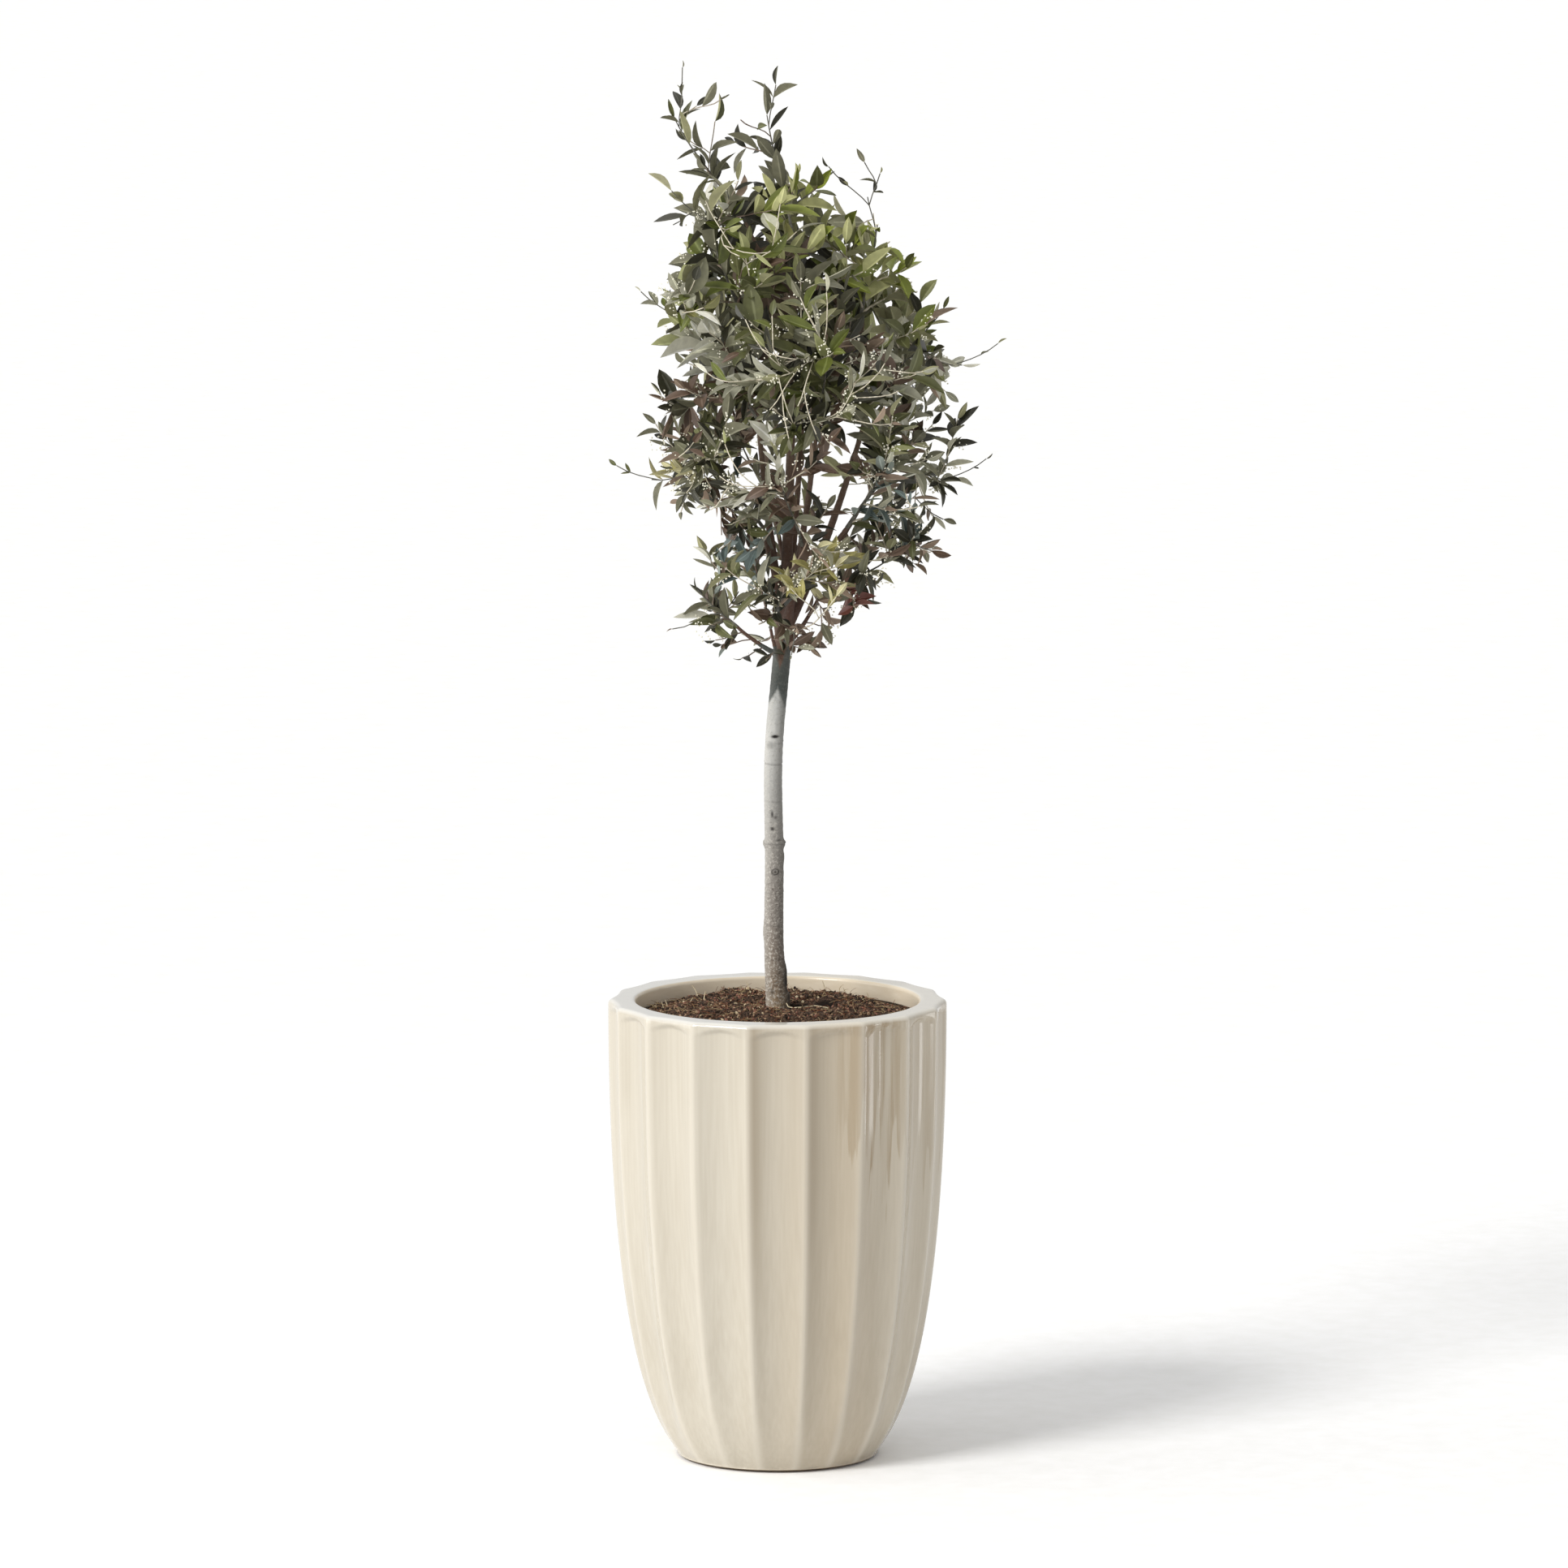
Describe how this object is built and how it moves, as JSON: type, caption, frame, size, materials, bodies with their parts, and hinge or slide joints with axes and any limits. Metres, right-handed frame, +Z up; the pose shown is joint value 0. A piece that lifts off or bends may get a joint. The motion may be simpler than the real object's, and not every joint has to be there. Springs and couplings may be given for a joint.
{
  "type": "potted olive tree",
  "caption": "Young olive grown as a standard: bare stem, tall loose crown of small narrow leaves, in a tall round fluted pot of cream glazed stoneware filled with compost.",
  "frame": {"origin": "centre of the pot's flat underside, where it stands on the ground", "axes": "+Z up along the pot's axis; +X to the right and +Y to the back as seen from the front, which has a flute in its middle"},
  "size_m": [0.5054, 0.4334, 1.8193],
  "materials": {
    "glaze": "glossy cream glaze on stoneware",
    "compost": "dark, fibrous and matt",
    "bark": "smooth grey bark with small scars",
    "foliage": "leathery grey-green leaves"
  },
  "bodies": {
    "root": {"pot": "glaze", "compost": "compost", "trunk": "bark", "bough_leader": "bark", "bough_left": "bark", "bough_right": "bark", "bough_front": "bark", "bough_back": "bark", "bough_mid_left": "bark", "bough_mid_right": "bark", "bough_mid_front_left": "bark", "bough_mid_front_right": "bark", "bough_mid_back": "bark", "bough_low_left": "bark", "bough_low_right": "bark", "bough_low_front": "bark", "bough_low_back": "bark", "bough_shoulder_left": "bark", "bough_shoulder_right": "bark", "bough_top_left": "bark", "foliage_leader": "foliage", "foliage_left": "foliage", "foliage_right": "foliage", "foliage_front": "foliage", "foliage_back": "foliage", "foliage_mid_left": "foliage", "foliage_mid_right": "foliage", "foliage_mid_front_left": "foliage", "foliage_mid_front_right": "foliage", "foliage_mid_back": "foliage", "foliage_low_left": "foliage", "foliage_low_right": "foliage", "foliage_low_front": "foliage", "foliage_low_back": "foliage", "foliage_shoulder_left": "foliage", "foliage_shoulder_right": "foliage", "foliage_top_left": "foliage"}
  },
  "joints": []
}
